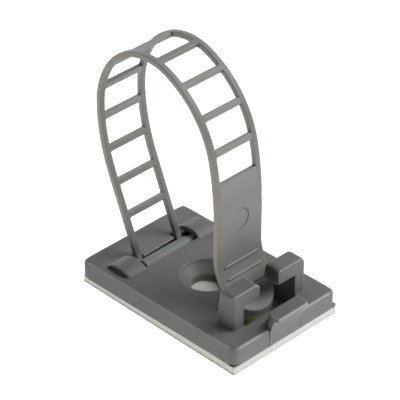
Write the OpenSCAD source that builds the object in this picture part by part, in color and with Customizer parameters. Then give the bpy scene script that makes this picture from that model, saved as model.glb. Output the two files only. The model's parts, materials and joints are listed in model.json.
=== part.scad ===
// Adjustable cable clip: a moulded base with a swinging ladder strap on an adhesive pad

/* [Plate] */
// Length of the plate, from the hinge end to the lock end
plate_l = 38.1; // [36:0.1:56]
// Width of the plate
plate_w = 25.4; // [24.6:0.1:36]
// Thickness of the plate
plate_t = 3.6; // [3.4:0.1:5]
// Radius of the plate's upright corners, at its foot
corner_r = 1.5; // [0.8:0.1:2]
// How far the plate's walls stand out at the foot, past its top
wall_draft = 0.18; // [0.1:0.01:0.3]
// Radius along the plate's upper edge
edge_r = 0.45; // [0.2:0.05:0.6]

/* [Adhesive] */
// Thickness of the foam pad
foam_t = 1.3; // [0.8:0.1:2]
// Thickness of the release liner
liner_t = 0.2; // [0.1:0.05:0.4]
// How far the liner stands out past the foam
liner_margin = 0.1; // [0.05:0.05:0.5]
// How far the tape's -Y edge is cut askew, over the plate's length
tape_skew = 0.65; // [0.1:0.05:0.8]

/* [Screw hole] */
// Diameter of the screw hole
screw_d = 6.1; // [4:0.1:6.4]
// Diameter of the countersink
sink_d = 9.6; // [8:0.1:9.8]

/* [Hinge] */
// From the plate's end to the hinge axis
hinge_inset = 8.2; // [7.8:0.1:9]
// Diameter of the strap's hinge bar
bar_d = 2.7; // [2.5:0.1:2.8]
// Diameter of the pins at the ends of the bar
pin_d = 2; // [1.6:0.1:2.2]
// Running gap round each pin
pin_gap = 0.08; // [0.05:0.01:0.1]
// Length of each hinge hood
hood_l = 4.1; // [3.8:0.1:4.6]

/* [Strap] */
// Width of the strap
strap_w = 11; // [9:0.1:11.2]
// Thickness of the strap
strap_t = 1.05; // [0.9:0.05:1.2]
// Width of each side rail
rail_w = 1.15; // [1:0.05:1.5]
// Width of each rung, along the strap
rung_w = 1.35; // [1.1:0.05:1.6]
// Distance from one rung to the next
rung_pitch = 6.41; // [5.5:0.01:8]

/* [Lock] */
// From the plate's end to the front of the hook posts
post_inset = 3.85; // [3.7:0.05:4.4]
// Height of the hook posts above the plate
post_h = 7.15; // [6.5:0.05:8]
// Depth of the hook posts, along the plate
post_d = 4.35; // [3.8:0.05:4.6]
// Width of each hook post's leg
leg_w = 2.5; // [2.2:0.1:3]
// Gap between the tips of the two hooks
hook_gap = 4.7; // [3.6:0.1:6]
// Width of the latch tab
tab_w = 7.6; // [6:0.1:8.4]

/* [Hidden] */
$fn = 64;

// Small overlap that keeps joined shapes one solid
lap = 0.05;
// Reach of a cutter past the surface it opens
past = 1;

// How far the tape stands out past the plate's top outline
tape_out = 0.15;

// Heights, from the underside of the liner
foam_z = liner_t;
plate_z = foam_z + foam_t;
plate_top = plate_z + plate_t;

// Hinge axis, along the plate's width
hinge_x = hinge_inset - plate_l / 2;
bar_r = bar_d / 2;
bar_proud = 0.12;
hinge_z = plate_top + bar_proud - bar_r;

// Hinge hoods, one at each side of the strap, set a little behind the hinge axis
hood_gap = 1.2;
hood_y = strap_w / 2 + hood_gap;
hood_end = hood_y + hood_l;
hood_r = 4;
hood_rise = 1.25;
hood_setback = 0.7;
hood_x = hinge_x - hood_setback;
hood_z = plate_top + hood_rise - hood_r;
hood_wall = 0.6;
mouth_r = hood_r - hood_wall;
inner_mouth_l = 1.2;
outer_mouth_l = 0.9;
outer_mouth_drop = 0.9;
outer_mouth_w = 4.8;
ramp_l = 0.9;
pin_setback = 0.1;
pin_end = hood_end - outer_mouth_l - pin_setback;
bore_r = pin_d / 2 + pin_gap;

// Slot that the hinge bar lies in, wide enough behind the bar for the rails' swing
// Between the rails a lip on its back wall makes it narrower
bar_gap = 0.1;
slot_behind = 1.5;
slot_lip = 0.45;
lip_gap = 0.4;
slot_front = hinge_x + bar_r + bar_gap;
slot_back = hinge_x - bar_r - slot_behind;

// Hook posts and the line of the strap's tongue behind them
post_front = plate_l / 2 - post_inset;
post_back = post_front - post_d;
tongue_setback = 8.02;
tongue_x = post_front - tongue_setback;

// Strap's section and its course in side view
rung_edge_r = 0.3;
rung_sink = 0.02;
facet_l = 1.25;
start_dir = 112.7;
start_x = hinge_x + bar_r * cos(start_dir + 90);
start_z = hinge_z + bar_r * sin(start_dir + 90);
span = tongue_x - start_x;
// Turns of the loop's bends, in degrees, and their radii as shares of the span
bend_turns = [22, 40, 73.5, 55.4, 11.8];
bend_r_shares = [1.846, 0.832, 0.588, 0.962, 2.948];
// Turns of the toe's outward bends, and their radii
toe_turns = [27, 30];
toe_radii = [9.5, 14.5];
toe_end = 1.8;
tip_sink = 0.1;
tip_z = plate_top - tip_sink;
tip_r = strap_w / 2;
tip_lead = 0.8;

// Solid tongue, its grip ridges and the ejector mark
tongue_flat = 14.4;
ridge_count = 3;
ridge_first = 2.6;
ridge_pitch = 2.4;
ridge_r = 0.26;
ridge_l = 8;
mark_r = 2.25;
mark_depth = 0.14;
mark_above_toe = 5.7;
plain_length = 9;

// Lock opening between the hook posts
opening_lead = 0.15;
opening_front = post_front + opening_lead;
opening_set = 1.3;
opening_back = tongue_x + opening_set;
leg_clearance = 0.95;
leg_gap = strap_w + 2 * leg_clearance;
leg_in = leg_gap / 2;
leg_out = leg_in + leg_w;
post_lean = 1.05;
post_edge_r = 0.6;
hook_t = 2.95;
hook_top = plate_top + post_h;
hook_under = hook_top - hook_t;
crook_r = 0.35;
// How far the gap between the hook tips lies off the middle, toward -Y
gap_shift = 0.15;
// Tip distance from the middle, nose radii above and below, and shoulder radius, for each hook
sharp_hook = [hook_gap / 2 - gap_shift, 0.3, 0.2, 1.4];
blunt_hook = [hook_gap / 2 + gap_shift, 1.3, 0.7, 0.6];

// Latch tab and the slot round it
tab_front = plate_l / 2;
tab_t = 1.85;
tab_back = tab_front - tab_t;
tab_foot = 1.5;
tab_foot_z = plate_z + tab_foot;
tab_face = tab_front + wall_draft * (1 - tab_foot / plate_t);
tab_lean = 0.85;
tab_curve_r = 8.5;
tab_rise = 2.85;
tab_top = plate_top + tab_rise;
lip_t = 0.9;
lip_out = 2;
tab_gap = 0.6;
tab_slit = 0.2;
tab_web = 1.1;
// Corner radii of the tab's leaf: behind at -Y, in front at -Y and in front at +Y
tab_corners = [1.5, 0.5, 0.7];
// Round shoulder of the plate beside the -Y slit
notch_r = 0.7;

// Stub that the moulding's gate leaves at the foot of one corner
gate_r = 0.45;
gate_h = 0.6;
gate_inset = 0.15;

// Soft rim of the countersink
rim_r = 0.4;

// Rectangle centred on the origin with four round corners
module round_rect(w, h, r) {
    square([w - 2 * r, h], center = true);
    square([w, h - 2 * r], center = true);
    for (x = [-1, 1], y = [-1, 1])
        translate([x * (w / 2 - r), y * (h / 2 - r)]) circle(r);
}

// What a round corner takes off, for a corner at the origin that opens to +X +Y
module corner_cut(r) {
    difference() {
        translate([-past, -past]) square(r + past);
        translate([r, r]) circle(r);
    }
}

// Fillet piece for an inside corner at the origin that opens to +X +Y
module corner_fill(r) {
    difference() {
        translate([-lap, -lap]) square(r + lap);
        translate([r, r]) circle(r);
    }
}

// Shape drawn in side view, X along the plate and Y up, given a width across the plate
module across(w) {
    translate([0, w / 2, 0]) rotate([90, 0, 0]) linear_extrude(w) children();
}

// Shape drawn in end view, X across the plate and Y up, given a length along the plate
module along(l) {
    rotate([90, 0, 90]) linear_extrude(l) children();
}

// Section of the plate, w wide at its top, with drafted walls and a soft upper edge
module wall_section(w) {
    edge_x = w / 2 + wall_draft * edge_r / plate_t;
    foot_x = w / 2 + wall_draft;
    difference() {
        polygon([[-foot_x, 0], [foot_x, 0], [w / 2, plate_t], [-w / 2, plate_t]]);
        translate([edge_x, plate_t]) mirror([1, 0]) mirror([0, 1]) corner_cut(edge_r);
        translate([-edge_x, plate_t]) mirror([0, 1]) corner_cut(edge_r);
    }
}

// Plate with round corners, drafted walls and a soft upper edge
module plate_blank() {
    foot_l = plate_l + 2 * wall_draft;
    foot_w = plate_w + 2 * wall_draft;
    translate([0, 0, plate_z])
        intersection() {
            linear_extrude(plate_t) round_rect(foot_l, foot_w, corner_r);
            across(foot_w + past) wall_section(plate_l);
            translate([-foot_l / 2, 0, 0]) along(foot_l) wall_section(plate_w);
        }
}

// Short stub at the foot of the +X +Y corner
module gate_stub() {
    translate([plate_l / 2 - gate_inset, plate_w / 2 - gate_inset, plate_z])
        cylinder(h = gate_h, r = gate_r);
}

// Low barrel vault over one end of the hinge bar, on the +Y side
module hood() {
    intersection() {
        translate([hood_x, hood_end, hood_z]) rotate([90, 0, 0]) cylinder(h = hood_l, r = hood_r);
        translate([hood_x - hood_r, hood_y, plate_z + lap])
            cube([2 * hood_r, hood_l, plate_t + 2 * hood_rise]);
    }
}

// Hollow under the hood: a wide mouth at each end and a pin bore between them
module hood_hollow() {
    slot_w = slot_front - slot_back;
    intersection() {
        translate([hood_x, hood_y + inner_mouth_l, hood_z])
            rotate([90, 0, 0]) cylinder(h = inner_mouth_l + past, r = mouth_r);
        translate([slot_back, hood_y - past, plate_z - past])
            cube([slot_w, 2 * past + inner_mouth_l, plate_t + 2 * past + hood_rise]);
    }
    intersection() {
        translate([hood_x, hood_end + past, hood_z])
            rotate([90, 0, 0]) cylinder(h = outer_mouth_l + past, r = mouth_r);
        translate([hood_x - outer_mouth_w / 2, hood_end - outer_mouth_l, plate_top - outer_mouth_drop])
            cube([outer_mouth_w, outer_mouth_l, hood_rise + outer_mouth_drop]);
    }
    translate([hood_x - outer_mouth_w / 2, 0, 0]) along(outer_mouth_w) mouth_ramp();
    translate([hinge_x, hood_end, hinge_z]) rotate([90, 0, 0]) cylinder(h = hood_l, r = bore_r);
}

// Slope that leads from the plate down into the hood's outer mouth
module mouth_ramp() {
    low = plate_top - outer_mouth_drop;
    polygon([[hood_end - lap, low], [hood_end + ramp_l, plate_top],
             [hood_end + ramp_l, plate_top + lap], [hood_end - lap, plate_top + lap]]);
}

// Through slot for the hinge bar, less the lip on its back wall
module bar_slot() {
    lip_y = strap_w / 2 - rail_w - lip_gap;
    difference() {
        translate([slot_back, -hood_y - lap, plate_z - past])
            cube([slot_front - slot_back, 2 * (hood_y + lap), plate_t + 2 * past]);
        translate([slot_back - lap, -lip_y, plate_z - 2 * past])
            cube([slot_lip + lap, 2 * lip_y, plate_t + 4 * past]);
    }
}

// Countersunk hole in the middle of the plate, with a soft rim
module screw_hole() {
    sink_r = sink_d / 2;
    cone_top = plate_top - rim_r;
    cone_h = (sink_d - screw_d) / 2;
    translate([0, 0, plate_z - past]) cylinder(h = plate_t + past, d = screw_d);
    translate([0, 0, cone_top - cone_h]) cylinder(h = cone_h, d1 = screw_d, d2 = sink_d);
    rotate_extrude()
        difference() {
            translate([0, cone_top - lap]) square([sink_r + rim_r, rim_r + 2 * lap]);
            translate([sink_r + rim_r, cone_top]) circle(rim_r);
        }
}

// End view of one hook post, for the +Y side
// The two hooks differ in where their tips end and in how they are rounded
module hook_outline(hook) {
    nose = hook[0];
    difference() {
        union() {
            translate([leg_in, plate_z + lap]) square([leg_w, hook_top - plate_z - lap]);
            translate([nose, hook_under]) square([leg_out - nose, hook_t]);
            translate([leg_in, hook_under]) mirror([1, 1]) corner_fill(crook_r);
        }
        translate([nose, hook_top]) mirror([0, 1]) corner_cut(hook[1]);
        translate([nose, hook_under]) corner_cut(hook[2]);
        translate([leg_out, hook_top]) mirror([1, 0]) mirror([0, 1]) corner_cut(hook[3]);
    }
}

// Side view of a hook post, whose back leans toward the lock end above the plate
module post_side() {
    polygon([[post_back, plate_z], [post_front, plate_z], [post_front, hook_top],
             [post_back + post_lean, hook_top], [post_back, plate_top]]);
}

// Plan of a hook post, with its two outer corners round, on the +Y side
module post_plan() {
    difference() {
        translate([post_back, 0]) square([post_d, leg_out]);
        translate([post_back, leg_out]) mirror([0, 1]) corner_cut(post_edge_r);
        translate([post_front, leg_out]) mirror([1, 0]) mirror([0, 1]) corner_cut(post_edge_r);
    }
}

// Inverted L that holds the strap's tongue down, on the +Y side
module hook_post(hook) {
    intersection() {
        translate([post_back, 0, 0]) along(post_d) hook_outline(hook);
        across(2 * leg_out) post_side();
        linear_extrude(hook_top) post_plan();
    }
}

// Opening that the strap's toe dips into
module lock_opening() {
    translate([opening_back, -leg_in, plate_z - past])
        cube([opening_front - opening_back, leg_gap, plate_t + 2 * past]);
}

// Side view of the latch tab: a leaf that leans outward under a rounded lip
module tab_outline() {
    lip_r = lip_t / 2;
    lip_z = tab_top - lip_t;
    lip_end = tab_front + lip_out;
    difference() {
        polygon([[tab_back, plate_z], [tab_front + wall_draft, plate_z], [tab_face, tab_foot_z],
                 [lip_end - lip_r, tab_foot_z], [lip_end - lip_r, tab_top],
                 [tab_back + tab_lean, tab_top], [tab_back, plate_top]]);
        intersection() {
            translate([tab_face + tab_curve_r, tab_foot_z]) circle(tab_curve_r, $fn = 128);
            translate([tab_face, tab_foot_z - lap]) square([lip_out + past, lip_z - tab_foot_z + lap]);
        }
    }
    translate([lip_end - lip_r, tab_top - lip_r]) circle(lip_r);
}

// Plan of the latch tab, with its two front corners round
module tab_plan() {
    side = tab_w / 2;
    lip_end = tab_front + lip_out;
    difference() {
        translate([tab_back, -side]) square([lip_end - tab_back, tab_w]);
        translate([lip_end, -side]) mirror([1, 0]) corner_cut(tab_corners[1]);
        translate([lip_end, side]) mirror([1, 0]) mirror([0, 1]) corner_cut(tab_corners[2]);
    }
}

// Leaf whose -Y back corner is rounded along its lean
module latch_tab() {
    difference() {
        intersection() {
            across(tab_w) tab_outline();
            linear_extrude(tab_top) tab_plan();
        }
        translate([tab_back, -tab_w / 2, plate_top])
            rotate([0, atan(tab_lean / tab_rise), 0])
                translate([0, 0, -plate_t - past])
                    linear_extrude(plate_t + tab_rise + 2 * past) corner_cut(tab_corners[0]);
    }
}

// Slot behind the latch tab and a slit at each end of it
module tab_slots() {
    side = tab_w / 2;
    slot_x = tab_back - tab_gap;
    for (y = [-side - tab_slit, side])
        translate([slot_x, y, plate_z - past])
            cube([plate_l, tab_slit, plate_t + 2 * past]);
    translate([slot_x, -side - lap, plate_z + tab_web])
        cube([tab_gap, tab_w + 2 * lap, plate_t]);
    translate([slot_x, -side - tab_slit, plate_top])
        along(plate_l) mirror([1, 0]) mirror([0, 1]) corner_cut(notch_r);
}

module base() {
    color("dimgray")
        difference() {
            union() {
                difference() {
                    union() {
                        plate_blank();
                        gate_stub();
                        hood();
                        mirror([0, 1, 0]) hood();
                        hook_post(sharp_hook);
                        mirror([0, 1, 0]) hook_post(blunt_hook);
                    }
                    lock_opening();
                    tab_slots();
                }
                latch_tab();
            }
            hood_hollow();
            mirror([0, 1, 0]) hood_hollow();
            bar_slot();
            screw_hole();
        }
}

// Course of the strap: each stretch is [turn, radius], or [0, length] where it is straight,
// and a clockwise turn is positive in side view
bends = [for (i = [0:len(bend_turns) - 1]) [bend_turns[i], span * bend_r_shares[i]]];
toe_bends = [for (i = [0:len(toe_turns) - 1]) [-toe_turns[i], toe_radii[i]]];

// Step round an arc that starts in direction d; both its radius and its turn are signed
function arc_step(r, turn, d) = r * [sin(d) - sin(d - turn), cos(d - turn) - cos(d)];

// Step made by the first part of a stretch, of length l, that starts in direction d
function stretch_step(s, l, d) =
    s[0] == 0
        ? l * [cos(d), sin(d)]
        : arc_step(sign(s[0]) * s[1], stretch_turn(s, l), d);

// Turn made over length l of a stretch
function stretch_turn(s, l) = s[0] == 0 ? 0 : sign(s[0]) * l / s[1] * 180 / PI;

function stretch_length(s) = s[0] == 0 ? s[1] : s[1] * abs(s[0]) * PI / 180;

// State at the start of stretch i: position, direction and length so far
function state_at(list, i, start) =
    i == 0
        ? start
        : let (before = state_at(list, i - 1, start), s = list[i - 1])
          [before[0] + stretch_step(s, stretch_length(s), before[1]),
           before[1] - s[0],
           before[2] + stretch_length(s)];

// The rising straight closes the loop lengthways and the falling one closes it in height
loop_run = state_at(bends, len(bends), [[0, 0], start_dir, 0]);
toe_run = state_at(toe_bends, len(toe_bends), [[0, 0], -90, 0]);
rise_l = (span - loop_run[0][0]) / cos(start_dir);
loop_top_z = start_z + rise_l * sin(start_dir) + loop_run[0][1];
toe_start_z = tip_z - toe_run[0][1];
fall_l = loop_top_z - toe_start_z;
course = concat([[0, rise_l]], bends, [[0, fall_l]], toe_bends, [[0, toe_end]]);
start_state = [[start_x, start_z], start_dir, 0];
states = [for (i = [0:len(course)]) state_at(course, i, start_state)];
toe_start_u = states[len(bends) + 2][2];
course_end_u = states[len(course)][2];
tongue_top_u = toe_start_u - tongue_flat;
last_rung_u = tongue_top_u - rung_pitch + rung_w / 2;
rung_count = floor((last_rung_u - plain_length) / rung_pitch) + 1;
tip_x = tongue_x + toe_run[0][0] + tip_lead;

// Stretch of the course that holds length u, searched from stretch i
function stretch_of(u, i = 0) =
    i == len(course) - 1 || u < states[i + 1][2] ? i : stretch_of(u, i + 1);

// Position and direction at length u
function course_at(u) =
    let (i = stretch_of(u), s = course[i], from = states[i], l = u - from[2])
    [from[0] + stretch_step(s, l, from[1]), from[1] - stretch_turn(s, l)];

// Places a child at length u: its X runs along the course and its Y outward from the loop
module at_course(u) {
    place = course_at(u);
    translate([place[0][0], 0, place[0][1]])
        rotate([90, 0, 0])
            rotate([0, 0, place[1]])
                children();
}

// Lengths at which the strap's outline has points: only the ends of a straight, and all along an arc
stations = [
    for (i = [0:len(course) - 1])
        let (from = states[i][2], l = stretch_length(course[i]), n = course[i][0] == 0 ? 1 : ceil(l / facet_l))
        for (k = [0:n - 1]) from + k * l / n,
    course_end_u
];

// Points at distance d outward from the course, at each of the lengths in list
function offset_points(list, d) =
    [for (u = list) let (place = course_at(u)) place[0] + d * [-sin(place[1]), cos(place[1])]];

function reversed(list) = [for (i = [len(list) - 1:-1:0]) list[i]];

// Band of thickness t and width w along the course, between two lengths
module band(from_u, to_u, t, w) {
    between = [for (u = stations) if (u > from_u && u < to_u) u];
    list = concat([from_u], between, [to_u]);
    across(w)
        polygon(concat(offset_points(list, t / 2), reversed(offset_points(list, -t / 2))));
}

// Strap before its rungs: two side rails that run into a solid tongue with a half-round tip
module rails_and_tongue() {
    difference() {
        band(0, course_end_u, strap_t, strap_w);
        band(-past, tongue_top_u, 3 * strap_t, strap_w - 2 * rail_w);
        difference() {
            translate([tip_x - tip_r, -strap_w, 0]) cube([strap_w, 2 * strap_w, toe_start_z]);
            translate([tip_x - tip_r, 0, -past]) cylinder(h = toe_start_z + 2 * past, r = tip_r);
        }
        at_course(toe_start_u - mark_above_toe)
            translate([0, strap_t / 2 - mark_depth, 0])
                rotate([-90, 0, 0]) cylinder(h = past, r = mark_r);
    }
}

// Round-edged bar between the rails
module rung(u) {
    at_course(u)
        translate([0, 0, rail_w / 2 - strap_w / 2])
            linear_extrude(strap_w - rail_w) round_rect(rung_w, strap_t - 2 * rung_sink, rung_edge_r);
}

// Raised grip line across the toe
module ridge(u) {
    at_course(u)
        translate([0, strap_t / 2, -ridge_l / 2]) cylinder(h = ridge_l, r = ridge_r);
}

// Bar in the slot, with a thinner pin at each end that turns under a hood
module hinge_bar() {
    translate([hinge_x, strap_w / 2, hinge_z]) rotate([90, 0, 0]) cylinder(h = strap_w, r = bar_r);
    translate([hinge_x, pin_end, hinge_z]) rotate([90, 0, 0]) cylinder(h = 2 * pin_end, d = pin_d);
}

module strap() {
    color("darkgray") {
        hinge_bar();
        rails_and_tongue();
        for (i = [0:rung_count - 1])
            rung(last_rung_u - i * rung_pitch);
        for (i = [0:ridge_count - 1])
            ridge(toe_start_u + ridge_first + i * ridge_pitch);
    }
}

// Plan of the tape, square cornered and flush with the plate's foot but for its askew -Y edge
module tape_plan(margin) {
    tape_x = plate_l / 2 + tape_out + margin;
    tape_y = plate_w / 2 + tape_out + margin;
    polygon([[-tape_x, tape_skew - tape_y], [tape_x, -tape_y], [tape_x, tape_y - tape_out],
             [-tape_x, tape_y - tape_out]]);
}

module foam_pad() {
    color("ivory")
        translate([0, 0, foam_z])
            linear_extrude(foam_t) tape_plan(0);
}

module release_liner() {
    color("whitesmoke")
        linear_extrude(liner_t) tape_plan(liner_margin);
}

base();
strap();
foam_pad();
release_liner();
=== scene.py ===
import json
import math

import bmesh
import bpy
from mathutils import Matrix, Vector
from mathutils.bvhtree import BVHTree


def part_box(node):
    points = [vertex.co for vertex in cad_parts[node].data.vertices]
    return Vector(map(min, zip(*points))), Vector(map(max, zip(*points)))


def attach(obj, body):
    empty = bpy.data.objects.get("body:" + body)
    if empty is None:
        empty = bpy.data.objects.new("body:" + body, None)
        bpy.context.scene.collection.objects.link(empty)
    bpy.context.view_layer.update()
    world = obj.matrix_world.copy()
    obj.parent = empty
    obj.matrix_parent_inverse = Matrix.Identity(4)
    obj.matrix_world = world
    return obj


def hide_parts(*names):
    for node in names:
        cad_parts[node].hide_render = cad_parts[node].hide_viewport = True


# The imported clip, which every piece here is fitted to
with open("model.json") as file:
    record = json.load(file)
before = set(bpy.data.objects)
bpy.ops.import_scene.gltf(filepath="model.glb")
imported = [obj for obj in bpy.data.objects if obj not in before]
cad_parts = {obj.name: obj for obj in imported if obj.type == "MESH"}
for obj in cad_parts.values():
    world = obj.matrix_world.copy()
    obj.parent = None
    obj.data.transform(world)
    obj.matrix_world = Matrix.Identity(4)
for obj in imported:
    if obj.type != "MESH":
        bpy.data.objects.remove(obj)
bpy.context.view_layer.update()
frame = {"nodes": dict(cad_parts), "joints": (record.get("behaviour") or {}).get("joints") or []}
MM = 0.001

# Camera
# A long lens looks down on the lock end from between the +X and -Y sides.
CAMERA_AZIMUTH = math.radians(44.87)
CAMERA_ELEVATION = math.radians(33.90)
CAMERA_ROLL = math.radians(0.246)
CAMERA_DISTANCE = 447.2 * MM
CAMERA_ASIDE = -1.359 * MM
CAMERA_RAISE = 17.42 * MM
CAMERA_LENS = 225.3
CAMERA_SENSOR = 36
CAMERA_NEAREST = 10 * MM
CAMERA_FARTHEST = 10000 * MM


def direction(azimuth, elevation):
    """The way out from the clip, by the angle round it from -Y and the angle above the floor."""
    flat = math.cos(elevation)
    return Vector((math.sin(azimuth) * flat, -math.cos(azimuth) * flat, math.sin(elevation)))


def place_camera():
    """A camera beside and above the clip, turned to its middle."""
    data = bpy.data.cameras.new("camera")
    data.sensor_width = CAMERA_SENSOR
    data.lens = CAMERA_LENS
    data.clip_start = CAMERA_NEAREST
    data.clip_end = CAMERA_FARTHEST
    camera = bpy.data.objects.new("camera", data)
    bpy.context.scene.collection.objects.link(camera)
    back = direction(CAMERA_AZIMUTH, CAMERA_ELEVATION)
    level = Vector((math.cos(CAMERA_AZIMUTH), math.sin(CAMERA_AZIMUTH), 0))
    upright = back.cross(level)
    right = math.cos(CAMERA_ROLL) * level + math.sin(CAMERA_ROLL) * upright
    up = back.cross(right)
    turn = Matrix((right, up, back)).transposed()
    place = turn @ Vector((CAMERA_ASIDE, CAMERA_RAISE, CAMERA_DISTANCE))
    camera.matrix_world = Matrix.Translation(place) @ turn.to_4x4()
    bpy.context.scene.camera = camera


place_camera()

# Base
# One hard grey moulding: plate, hinge hoods, hook posts and latch tab.
# Its tool leaves a fine satin skin, and every edge is a little rounded and carries a painted
# highlight.
BASE_GREY = (0.180, 0.181, 0.174, 1)
BASE_GREY_DARK = (0.158, 0.160, 0.154, 1)
# Painted highlight on the rounded edges, and painted shade down in the corners
BASE_EDGE_HIGHLIGHT_GREY = (0.40, 0.40, 0.385, 1)
BASE_HOLLOW_SHADE_GREY = (0.09, 0.089, 0.083, 1)
BASE_CLOUD_SCALE = 180
CLOUD_DETAIL = 3
CLOUD_SPAN = (0.35, 0.65)
SATIN_ROUGHNESS = 0.46
# Fine moulded texture mirrors less of the room than a polished skin would
SATIN_SPECULAR = 0.25
SKIN_GRAIN = 4000
SKIN_DEPTH = 0.02 * MM
GRAIN_DETAIL = 2
GRAIN_STRENGTH = 0.15

# Painted brown shade on the nose of the blunt hook
NOSE_SHADE_BROWN = (0.078, 0.060, 0.048, 1)
NOSE = (13.1 * MM, 1.7 * MM, 11.1 * MM)
NOSE_SHADE_R = 2.5 * MM
NOSE_SHADE_CORE = 1.1 * MM

# How near points are welded, how finely the skin is laid over the sharp form, and how often
# its edges are evened out
WELD = 0.002 * MM
BASE_VOXEL = 0.085 * MM
BASE_SMOOTHING = 32
SMOOTHING_STEP = 0.5
PIECE_TRIANGLES = 190000

# Rounding cuts an edge below the sharp form.
# These are the depths, in millimetres, where the painted edge highlight starts and is full,
# and, below 0, where the painted corner shade does.
BASE_EDGE_DEPTHS = (0.020, 0.055)

# The plate's upright corners are rounder still, but for the foot of the one with the gate stub,
# and so is the shoulder of the blunt hook
PLATE_CORNER = (19.05 * MM, 12.7 * MM)
PLATE_TOP = 5.1 * MM
CORNER_REACH = 1.9 * MM
CORNER_FADE = 0.7 * MM
CORNER_SMOOTHING = 90
GATE_TOP = 2.3 * MM
HOOK_UNDER = 4 * MM
BLUNT_SHOULDER = (7.9 * MM, 10.9 * MM)

# The plate's top edge is already round in the frame, so its painted highlight rim
# is marked by its slope
RIM_WIDTH = 0.9 * MM
RIM_HEIGHT = 0.8 * MM
RIM_FADE = 0.3 * MM
RIM_SLOPE = math.radians(45)
RIM_MARK = 0.045 * MM

# The plate closes in on the hinge bar by thin ledges, between the rails and beside them
HINGE_X = frame["joints"][0]["pos_m"][0]
SLOT_BACK = HINGE_X - 2.85 * MM
LEDGE_HALF = 3.95 * MM
LEDGE_THICK = 0.55 * MM
LEDGE_NEAR_EDGE = HINGE_X - 1.3 * MM
LEDGE_FAR_EDGE = HINGE_X - 1.55 * MM
SIDE_LEDGE = (5.9 * MM, 6.9 * MM)
SIDE_LEDGE_EDGE = HINGE_X - 1.7 * MM
LAP = 0.2 * MM

# Webs nearly close the two mouths of each hood, over the pin and past its end.
# Each has the place where it starts and ends along the pin, and the height of its lower edge.
HOOD_X = HINGE_X - 0.7 * MM
HOOD_AXIS_Z = PLATE_TOP - 2.75 * MM
WEB_RADIUS = 3.7 * MM
WEB_STEPS = 16
INNER_WEB = (6.85 * MM, 8.1 * MM, PLATE_TOP - 0.14 * MM)
OUTER_WEB = (9.92 * MM, 10.66 * MM, PLATE_TOP - 1.0 * MM)

# A shallow dish lies before each hood's outer mouth
DISH_START = 10.6 * MM
DISH_END = 11.75 * MM
DISH_HALF = 2.5 * MM
DISH_DROP = 0.3 * MM
DISH_LIP = 0.01 * MM
DISH_THICK = 1.2 * MM

# The notch between the plate and the near end of the latch tab is shallow
NOTCH_X = (16.4 * MM, 18.3 * MM)
NOTCH_Y = (-4.2 * MM, -2.5 * MM)
NOTCH_DEPTH = 0.18 * MM
NOTCH_THICK = 2 * MM


def prism(solid, outline, rise):
    """A closed prism over an outline of points, drawn out by the vector rise."""
    face = solid.faces.new([solid.verts.new(point) for point in outline])
    grown = bmesh.ops.extrude_face_region(solid, geom=[face])["geom"]
    moved = [part for part in grown if isinstance(part, bmesh.types.BMVert)]
    bmesh.ops.translate(solid, verts=moved, vec=rise)


def ledge(solid, start, end, start_edge, end_edge):
    """A thin ledge on the slot's back wall, between two places along the bar."""
    back = SLOT_BACK - LAP
    low = PLATE_TOP - LEDGE_THICK
    outline = [(back, start, low), (back, end, low),
               (end_edge, end, low), (start_edge, start, low)]
    prism(solid, outline, (0, 0, LEDGE_THICK))


def mouth_dish(solid, side):
    """Fills most of the slope before a hood's outer mouth, so that a shallow dish is left."""
    left = HOOD_X - DISH_HALF
    start = side * DISH_START
    end = side * DISH_END
    low = PLATE_TOP - DISH_THICK
    outline = [(left, start, low), (left, start, PLATE_TOP - DISH_DROP),
               (left, end, PLATE_TOP - DISH_LIP), (left, end, low)]
    prism(solid, outline, (2 * DISH_HALF, 0, 0))


def mouth_web(solid, side, start, end, low):
    """A web across a hood's mouth: the part of the hood's own round that lies over a low edge."""
    half_angle = math.acos((low - HOOD_AXIS_Z) / WEB_RADIUS)
    outline = []
    for step in range(WEB_STEPS + 1):
        angle = half_angle * (1 - 2 * step / WEB_STEPS)
        outline.append((HOOD_X + WEB_RADIUS * math.sin(angle), side * start,
                        HOOD_AXIS_Z + WEB_RADIUS * math.cos(angle)))
    prism(solid, outline, (0, side * (end - start), 0))


def notch_floor(solid):
    """A floor just under the plate's top, in the notch beside the latch tab."""
    low = PLATE_TOP - NOTCH_DEPTH - NOTCH_THICK
    outline = [(NOTCH_X[0], NOTCH_Y[0], low), (NOTCH_X[1], NOTCH_Y[0], low),
               (NOTCH_X[1], NOTCH_Y[1], low), (NOTCH_X[0], NOTCH_Y[1], low)]
    prism(solid, outline, (0, 0, NOTCH_THICK))


def close_in_gaps(solid):
    """Adds the ledges, webs, dishes and notch floor to the base."""
    notch_floor(solid)
    ledge(solid, -LEDGE_HALF, LEDGE_HALF, LEDGE_NEAR_EDGE, LEDGE_FAR_EDGE)
    for side in (-1, 1):
        ledge(solid, side * SIDE_LEDGE[0], side * SIDE_LEDGE[1],
              SIDE_LEDGE_EDGE, SIDE_LEDGE_EDGE)
        mouth_dish(solid, side)
        mouth_web(solid, side, *INNER_WEB)
        mouth_web(solid, side, *OUTER_WEB)


def fade_in(value, start, fade):
    """0 up to the start value, and 1 from a fade's length beyond it."""
    return min(1, max(0, (value - start) / fade))


def round_place(place):
    """How much a point belongs to the plate's upright corners or the blunt hook's shoulder."""
    if place.z > PLATE_TOP + HOOK_UNDER:
        return (fade_in(place.y, BLUNT_SHOULDER[0], CORNER_FADE)
                * fade_in(place.z, BLUNT_SHOULDER[1], CORNER_FADE))
    weight = fade_in(abs(place.x), PLATE_CORNER[0] - CORNER_REACH, CORNER_FADE)
    weight *= fade_in(abs(place.y), PLATE_CORNER[1] - CORNER_REACH, CORNER_FADE)
    if place.x > 0 and place.y > 0:
        weight *= fade_in(place.z, GATE_TOP, CORNER_FADE)
    return weight


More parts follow.
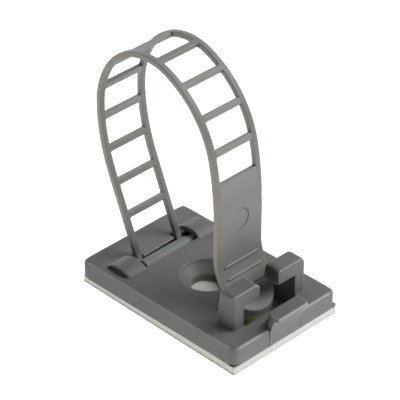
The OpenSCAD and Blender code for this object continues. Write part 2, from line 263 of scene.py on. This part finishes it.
def plate_rim(place, normal):
    """1 halfway round the plate's top edge, and 0 on its flat top and walls."""
    outer = max(fade_in(abs(place.x), PLATE_CORNER[0] - RIM_WIDTH, RIM_FADE),
                fade_in(abs(place.y), PLATE_CORNER[1] - RIM_WIDTH, RIM_FADE))
    high = fade_in(place.z, PLATE_TOP - RIM_HEIGHT, RIM_FADE)
    slope = math.asin(min(1, max(0, normal.z))) / RIM_SLOPE
    return outer * high * (1 - abs(slope - 1))


def sharp_form(node, name, add):
    """A piece with a CAD node's form and what is added to it, and a search tree of its faces."""
    solid = bmesh.new()
    solid.from_mesh(frame["nodes"][node].data)
    bmesh.ops.remove_doubles(solid, verts=solid.verts, dist=WELD)
    if add:
        add(solid)
    bmesh.ops.recalc_face_normals(solid, faces=solid.faces)
    mesh = bpy.data.meshes.new(name)
    solid.to_mesh(mesh)
    faces = BVHTree.FromBMesh(solid)
    solid.free()
    piece = bpy.data.objects.new(name, mesh)
    bpy.context.scene.collection.objects.link(piece)
    return piece, faces


def smoothed(piece, times, group=""):
    """Evens out the piece, or only the points in one of its groups."""
    smooth = piece.modifiers.new("smooth", "SMOOTH")
    smooth.factor = SMOOTHING_STEP
    smooth.iterations = times
    smooth.vertex_group = group


def baked(piece, name):
    """The piece's mesh as its modifiers leave it."""
    bpy.context.view_layer.update()
    shown = piece.evaluated_get(bpy.context.evaluated_depsgraph_get())
    mesh = bpy.data.meshes.new_from_object(shown)
    piece.modifiers.clear()
    piece.data = mesh
    mesh.name = name
    return mesh


def round_more(piece, rounder):
    """Evens out the places that are rounder than the other edges."""
    group = piece.vertex_groups.new(name="rounder")
    for vertex in piece.data.vertices:
        weight = rounder(vertex.co)
        if weight > 0:
            group.add([vertex.index], weight, "REPLACE")
    smoothed(piece, CORNER_SMOOTHING, group.name)


def mark_edges(mesh, sharp, rounder):
    """Marks each point with two numbers: how far it lies under the sharp form, less than 0 in a
    corner, and how squarely it faces a side of the clip. They set the painted edge highlights,
    corner shade and flank light. The rounder places get no painted edge highlight or corner
    shade."""
    depths = []
    flanks = []
    for vertex in mesh.vertices:
        place, normal = sharp.find_nearest(vertex.co)[:2]
        depth = (place - vertex.co).dot(normal)
        if rounder:
            depth *= 1 - rounder(vertex.co)
            # A painted highlight rim halfway round the plate's top edge
            depth += plate_rim(vertex.co, vertex.normal) * RIM_MARK
        depths.append(depth / MM)
        flanks.append(abs(vertex.normal.y))
    for name, values in (("edge_depth", depths), ("flank", flanks)):
        mesh.attributes.new(name, "FLOAT", "POINT").data.foreach_set("value", values)


def soft_edged(node, name, voxel, smoothing, add=None, rounder=None):
    """A moulded skin over a CAD node: the node's own form with every edge a little rounded."""
    piece, sharp = sharp_form(node, name, add)
    remesh = piece.modifiers.new("remesh", "REMESH")
    remesh.mode = "VOXEL"
    remesh.voxel_size = voxel
    smoothed(piece, smoothing)
    fine = baked(piece, name)
    if rounder:
        round_more(piece, rounder)
    count = sum(len(face.vertices) - 2 for face in fine.polygons)
    decimate = piece.modifiers.new("decimate", "DECIMATE")
    decimate.ratio = min(1, PIECE_TRIANGLES / count)
    light = baked(piece, name)
    for face in light.polygons:
        face.use_smooth = True
    mark_edges(light, sharp, rounder)
    return piece


def plain_plastic(name, roughness, specular):
    """A plastic with no pattern yet, with its node tree and the place on the piece."""
    material = bpy.data.materials.new(name)
    material.use_nodes = True
    tree = material.node_tree
    shader = tree.nodes["Principled BSDF"]
    shader.inputs["Roughness"].default_value = roughness
    shader.inputs["Specular IOR Level"].default_value = specular
    place = tree.nodes.new("ShaderNodeTexCoord")
    return material, tree, place.outputs["Object"]


def clouded(tree, place, scale, dark, light):
    """Slow clouds between two close shades."""
    clouds = tree.nodes.new("ShaderNodeTexNoise")
    clouds.inputs["Scale"].default_value = scale
    clouds.inputs["Detail"].default_value = CLOUD_DETAIL
    shades = tree.nodes.new("ShaderNodeValToRGB")
    for stop, position, shade in zip(shades.color_ramp.elements, CLOUD_SPAN, (dark, light)):
        stop.position = position
        stop.color = shade
    tree.links.new(place, clouds.inputs["Vector"])
    tree.links.new(clouds.outputs["Fac"], shades.inputs["Fac"])
    return shades.outputs["Color"]


def ranged(tree, value, start, end):
    """0 at the start value, 1 at the end value, and even steps between."""
    span = tree.nodes.new("ShaderNodeMapRange")
    span.inputs["From Min"].default_value = start
    span.inputs["From Max"].default_value = end
    tree.links.new(value, span.inputs["Value"])
    return span.outputs["Result"]


def toned(tree, factor, ground, tone):
    """The ground colour, turned to a plain tone as the factor goes from 0 to 1."""
    mix = tree.nodes.new("ShaderNodeMix")
    mix.data_type = "RGBA"
    mix.inputs["B"].default_value = tone
    tree.links.new(factor, mix.inputs["Factor"])
    tree.links.new(ground, mix.inputs["A"])
    return mix.outputs["Result"]


def mark(tree, name):
    """A number that mark_edges keeps at each point of the piece."""
    marks = tree.nodes.new("ShaderNodeAttribute")
    marks.attribute_name = name
    return marks.outputs["Fac"]


def edge_highlighted_hollow_shaded(tree, ground, edge, hollow, depths):
    """Painted highlight along the edges and painted shade down in the corners, by two depths in
    millimetres.
    """
    depth = mark(tree, "edge_depth")
    starts, full = depths
    raised = ranged(tree, depth, starts, full)
    sunk = ranged(tree, depth, -starts, -full)
    return toned(tree, sunk, toned(tree, raised, ground, edge), hollow)


def finished(tree, colour, place, scale, depth):
    """Lays the colour under a fine grain: a moulded skin, foam cells or a film's haze."""
    shader = tree.nodes["Principled BSDF"]
    grain = tree.nodes.new("ShaderNodeTexNoise")
    grain.inputs["Scale"].default_value = scale
    grain.inputs["Detail"].default_value = GRAIN_DETAIL
    bump = tree.nodes.new("ShaderNodeBump")
    bump.inputs["Strength"].default_value = GRAIN_STRENGTH
    bump.inputs["Distance"].default_value = depth
    tree.links.new(colour, shader.inputs["Base Color"])
    tree.links.new(place, grain.inputs["Vector"])
    tree.links.new(grain.outputs["Fac"], bump.inputs["Height"])
    tree.links.new(bump.outputs["Normal"], shader.inputs["Normal"])


def base_plastic():
    """Grey with painted highlights on its edges and painted shade in its corners, and painted
    brown shade on the blunt hook's nose.
    """
    material, tree, place = plain_plastic("base_grey", SATIN_ROUGHNESS, SATIN_SPECULAR)
    grey = clouded(tree, place, BASE_CLOUD_SCALE, BASE_GREY_DARK, BASE_GREY)
    # Painted highlights along the edges, painted shade in the corners
    grey = edge_highlighted_hollow_shaded(tree, grey, BASE_EDGE_HIGHLIGHT_GREY, BASE_HOLLOW_SHADE_GREY, BASE_EDGE_DEPTHS)
    reach = tree.nodes.new("ShaderNodeVectorMath")
    reach.operation = "DISTANCE"
    reach.inputs[1].default_value = NOSE
    tree.links.new(place, reach.inputs[0])
    # Painted brown shade round the blunt hook's nose
    nose_shade = ranged(tree, reach.outputs["Value"], NOSE_SHADE_R, NOSE_SHADE_CORE)
    grey = toned(tree, nose_shade, grey, NOSE_SHADE_BROWN)
    finished(tree, grey, place, SKIN_GRAIN, SKIN_DEPTH)
    return material


def dress(piece, material):
    """Gives the piece one material alone."""
    piece.data.materials.clear()
    piece.data.materials.append(material)


base = soft_edged("base", "base_moulding", BASE_VOXEL, BASE_SMOOTHING,
                  close_in_gaps, round_place)
dress(base, base_plastic())
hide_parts("base")
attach(base, "base")

# Strap
# A lighter, more flexible grey moulding: ladder rails and rungs that run into a solid tongue.
# Its hinge bar lies in the plate's slot.
STRAP_GREY = (0.238, 0.239, 0.228, 1)
STRAP_GREY_DARK = (0.222, 0.222, 0.211, 1)
# Painted highlight along the strap's edges, and painted shade down in its corners
STRAP_EDGE_HIGHLIGHT_GREY = (0.335, 0.325, 0.300, 1)
STRAP_HOLLOW_SHADE_GREY = (0.14, 0.133, 0.118, 1)
STRAP_EDGE_DEPTHS = (0.006, 0.028)
STRAP_CLOUD_SCALE = 120
STRAP_VOXEL = 0.1 * MM
STRAP_SMOOTHING = 6

# The hinge bar, cooler than the rest
STRAP_BAR_GREY = (0.208, 0.224, 0.217, 1)
STRAP_BAR_TOP = 5.3 * MM
STRAP_BAR_FADES = 5.8 * MM

# Painted shade on the feet of the rails, dark beside the hoods
STRAP_FOOT_SHADE_GREY = (0.150, 0.140, 0.125, 1)
STRAP_FOOT = 7 * MM
STRAP_FOOT_FADES = 13 * MM
STRAP_FOOT_ENDS = 0
STRAP_FOOT_FULL = -4 * MM

# Painted light on the crest of the loop, which takes in the rails only at its very top
STRAP_CREST_LIT_GREY = (0.296, 0.297, 0.284, 1)
STRAP_CREST_STARTS = 25 * MM
STRAP_CREST = 32 * MM
STRAP_TOP_STARTS = 40 * MM
STRAP_TOP = 46 * MM

# The warm rails, and painted light on their flanks that face the sides
STRAP_RAIL_GREY = (0.242, 0.228, 0.207, 1)
RAIL_INSIDE = 4.35 * MM
RAIL_FADE = 0.2 * MM
STRAP_LIT_FLANK_GREY = (0.365, 0.346, 0.306, 1)
FLANK_SPAN = (0.4, 0.8)


def worked_out(tree, operation, first, second):
    """Two numbers of a pattern put together, and kept between 0 and 1."""
    result = tree.nodes.new("ShaderNodeMath")
    result.operation = operation
    result.use_clamp = True
    tree.links.new(first, result.inputs[0])
    tree.links.new(second, result.inputs[1])
    return result.outputs["Value"]


def strap_plastic():
    """Painted shade down by the base, and painted light round the crest and on the flanks of the
    rails.
    """
    material, tree, place = plain_plastic("strap_grey", SATIN_ROUGHNESS, SATIN_SPECULAR)
    split = tree.nodes.new("ShaderNodeSeparateXYZ")
    tree.links.new(place, split.inputs["Vector"])
    height = split.outputs["Z"]
    aside = tree.nodes.new("ShaderNodeMath")
    aside.operation = "ABSOLUTE"
    tree.links.new(split.outputs["Y"], aside.inputs[0])

    # Painted shade on the rails' feet by the base
    low = ranged(tree, height, STRAP_FOOT_FADES, STRAP_FOOT)
    hinge_end = ranged(tree, split.outputs["X"], STRAP_FOOT_ENDS, STRAP_FOOT_FULL)
    foot = worked_out(tree, "MULTIPLY", low, hinge_end)
    bar = ranged(tree, height, STRAP_BAR_FADES, STRAP_BAR_TOP)
    # Painted light round the crest, and again at the very top
    crest = ranged(tree, height, STRAP_CREST_STARTS, STRAP_CREST)
    outer = ranged(tree, aside.outputs["Value"], RAIL_INSIDE - RAIL_FADE, RAIL_INSIDE)
    rail = worked_out(tree, "SUBTRACT", outer, low)
    top = ranged(tree, height, STRAP_TOP_STARTS, STRAP_TOP)
    # Painted light on the faces that point to the sides
    side_on = ranged(tree, mark(tree, "flank"), *FLANK_SPAN)
    flank = worked_out(tree, "SUBTRACT", side_on, foot)

    grey = clouded(tree, place, STRAP_CLOUD_SCALE, STRAP_GREY_DARK, STRAP_GREY)
    for where, tone in ((foot, STRAP_FOOT_SHADE_GREY), (bar, STRAP_BAR_GREY),
                        (crest, STRAP_CREST_LIT_GREY), (rail, STRAP_RAIL_GREY),
                        (top, STRAP_CREST_LIT_GREY), (flank, STRAP_LIT_FLANK_GREY)):
        grey = toned(tree, where, grey, tone)
    # Painted highlights along the edges, painted shade in the corners
    grey = edge_highlighted_hollow_shaded(tree, grey, STRAP_EDGE_HIGHLIGHT_GREY, STRAP_HOLLOW_SHADE_GREY, STRAP_EDGE_DEPTHS)
    finished(tree, grey, place, SKIN_GRAIN, SKIN_DEPTH)
    return material


strap = soft_edged("strap", "ladder_strap", STRAP_VOXEL, STRAP_SMOOTHING)
dress(strap, strap_plastic())
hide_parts("strap")
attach(strap, "strap")

# Foam pad
# Off-white closed-cell foam tape, cut a little askew to the plate.
# Its glue's own yellow, darkened by painted shade, shows on its top where it lies open beside the
# latch.
FOAM_WHITE = (0.76, 0.76, 0.70, 1)
FOAM_SHADE = (0.70, 0.70, 0.63, 1)
FOAM_CELL_SCALE = 2200
FOAM_GRAIN = 6000
FOAM_CELL_DEPTH = 0.04 * MM
FOAM_ROUGHNESS = 0.85
# The glue's own yellow, darkened with painted shade where it shows in the opening
FOAM_GLUE_SHADED = (0.40, 0.39, 0.24, 1)
FOAM_GLUE_STARTS = 8 * MM
FOAM_GLUE_FULL = 11 * MM
FOAM_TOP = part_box("foam_pad")[1].z
FOAM_TOP_SPAN = (FOAM_TOP - 0.03 * MM, FOAM_TOP - 0.01 * MM)
# Painted shade on the foam's +X cut end
FOAM_CUT_SHADE = (0.585, 0.595, 0.575, 1)
FOAM_CUT_END = PLATE_CORNER[0]
FOAM_CUT_SPAN = (FOAM_CUT_END - 0.4 * MM, FOAM_CUT_END - 0.1 * MM)


def foam_tape():
    """Fine foam, with the glue's yellow and painted shade on its top at the lock end, and painted
    shade on its cut end.
    """
    material, tree, place = plain_plastic("foam_white", FOAM_ROUGHNESS, SATIN_SPECULAR)
    split = tree.nodes.new("ShaderNodeSeparateXYZ")
    tree.links.new(place, split.inputs["Vector"])
    top = ranged(tree, split.outputs["Z"], *FOAM_TOP_SPAN)
    lock_end = ranged(tree, split.outputs["X"], FOAM_GLUE_STARTS, FOAM_GLUE_FULL)
    # The glue's yellow with painted shade, on the top at the lock end
    shaded_glue = worked_out(tree, "MULTIPLY", top, lock_end)
    cut_end = ranged(tree, split.outputs["X"], *FOAM_CUT_SPAN)
    white = clouded(tree, place, FOAM_CELL_SCALE, FOAM_SHADE, FOAM_WHITE)
    white = toned(tree, shaded_glue, white, FOAM_GLUE_SHADED)
    # Painted shade on the cut end
    white = toned(tree, cut_end, white, FOAM_CUT_SHADE)
    finished(tree, white, place, FOAM_GRAIN, FOAM_CELL_DEPTH)
    return material


dress(frame["nodes"]["foam_pad"], foam_tape())

# Release liner
# A thin pale film that covers the adhesive and stands out a little past the plate.
LINER_WHITE = (0.80, 0.80, 0.77, 1)
LINER_SHADE = (0.76, 0.76, 0.73, 1)
LINER_CLOUD_SCALE = 300
LINER_GRAIN = 3000
LINER_GRAIN_DEPTH = 0.01 * MM
LINER_ROUGHNESS = 0.4


def liner_film():
    """Smooth film with faint clouds."""
    material, tree, place = plain_plastic("liner_white", LINER_ROUGHNESS, SATIN_SPECULAR)
    white = clouded(tree, place, LINER_CLOUD_SCALE, LINER_SHADE, LINER_WHITE)
    finished(tree, white, place, LINER_GRAIN, LINER_GRAIN_DEPTH)
    return material


dress(frame["nodes"]["release_liner"], liner_film())

# Floor
# A white table top in a white room: it lights the clip softly from below.
# It keeps the clip's shadow, which is faint.
FLOOR_SIZE = 300 * MM
FLOOR_DROP = 0.02 * MM
FLOOR_PAINT = (0.9, 0.9, 0.9, 1)
FLOOR_ROUGHNESS = 0.9
FLOOR_SHADOW_SHARE = 0.4
FLOOR_BOUNCE = 1.1
WHITE = (1, 1, 1, 1)


def seen_ray(tree):
    """1 for a ray that sees the background straight, mirrored or through glass, 0 for light."""
    ray = tree.nodes.new("ShaderNodeLightPath").outputs
    turned = worked_out(tree, "MAXIMUM", ray["Is Glossy Ray"], ray["Is Transmission Ray"])
    return worked_out(tree, "MAXIMUM", ray["Is Camera Ray"], turned)


def floor_white():
    """Plain white where it is seen, mixed with lit paint that takes the clip's shadow."""
    material = bpy.data.materials.new("floor_white")
    material.use_nodes = True
    tree = material.node_tree
    paint = tree.nodes["Principled BSDF"]
    paint.inputs["Base Color"].default_value = FLOOR_PAINT
    paint.inputs["Roughness"].default_value = FLOOR_ROUGHNESS
    bounce = tree.nodes.new("ShaderNodeEmission")
    bounce.inputs["Strength"].default_value = FLOOR_BOUNCE
    lit = tree.nodes.new("ShaderNodeAddShader")
    white = tree.nodes.new("ShaderNodeEmission")
    white.inputs["Color"].default_value = WHITE
    share = tree.nodes.new("ShaderNodeMath")
    share.operation = "MULTIPLY"
    share.inputs[1].default_value = 1 - FLOOR_SHADOW_SHARE
    mix = tree.nodes.new("ShaderNodeMixShader")
    tree.links.new(paint.outputs["BSDF"], lit.inputs[0])
    tree.links.new(bounce.outputs["Emission"], lit.inputs[1])
    tree.links.new(seen_ray(tree), share.inputs[0])
    tree.links.new(share.outputs["Value"], mix.inputs["Fac"])
    tree.links.new(lit.outputs["Shader"], mix.inputs[1])
    tree.links.new(white.outputs["Emission"], mix.inputs[2])
    tree.links.new(mix.outputs["Shader"], tree.nodes["Material Output"].inputs["Surface"])
    return material


def white_floor():
    """One flat square a hair below the clip."""
    floor = bmesh.new()
    bmesh.ops.create_grid(floor, x_segments=1, y_segments=1, size=FLOOR_SIZE / 2)
    bmesh.ops.translate(floor, verts=floor.verts, vec=(0, 0, -FLOOR_DROP))
    mesh = bpy.data.meshes.new("floor")
    floor.to_mesh(mesh)
    floor.free()
    piece = bpy.data.objects.new("floor", mesh)
    bpy.context.scene.collection.objects.link(piece)
    dress(piece, floor_white())
    return piece


white_floor()

# Light
# A white room that adds no light of its own, a key lamp high on the right, a second lamp a
# little further back on that side, and a low one from behind on the left.
LAMP_SIZE = 450 * MM
LAMP_DISTANCE = 700 * MM
LAMP_AIM = 20 * MM
# Each lamp's angle round the clip and above the floor, in degrees, and its watts
KEY_LAMP = (135, 48, 2.61)
BACK_LAMP = (158, 35, 2.03)
SIDE_LAMP = (270, 12, 2.12)


def white_room():
    """White to see and in mirrors, and dark as a source of light."""
    world = bpy.data.worlds.new("room")
    bpy.context.scene.world = world
    world.use_nodes = True
    tree = world.node_tree
    background = tree.nodes["Background"]
    background.inputs["Color"].default_value = WHITE
    tree.links.new(seen_ray(tree), background.inputs["Strength"])


def soft_lamp(name, azimuth, elevation, power):
    """A square area lamp that faces the clip from the given side."""
    data = bpy.data.lights.new(name, "AREA")
    data.shape = "SQUARE"
    data.size = LAMP_SIZE
    data.energy = power
    lamp = bpy.data.objects.new(name, data)
    bpy.context.scene.collection.objects.link(lamp)
    away = direction(math.radians(azimuth), math.radians(elevation))
    lamp.location = away * LAMP_DISTANCE + Vector((0, 0, LAMP_AIM))
    lamp.rotation_euler = away.to_track_quat("Z", "Y").to_euler()


white_room()
soft_lamp("key_lamp", *KEY_LAMP)
soft_lamp("back_lamp", *BACK_LAMP)
soft_lamp("side_lamp", *SIDE_LAMP)

bpy.context.scene.view_settings.view_transform = "Standard"
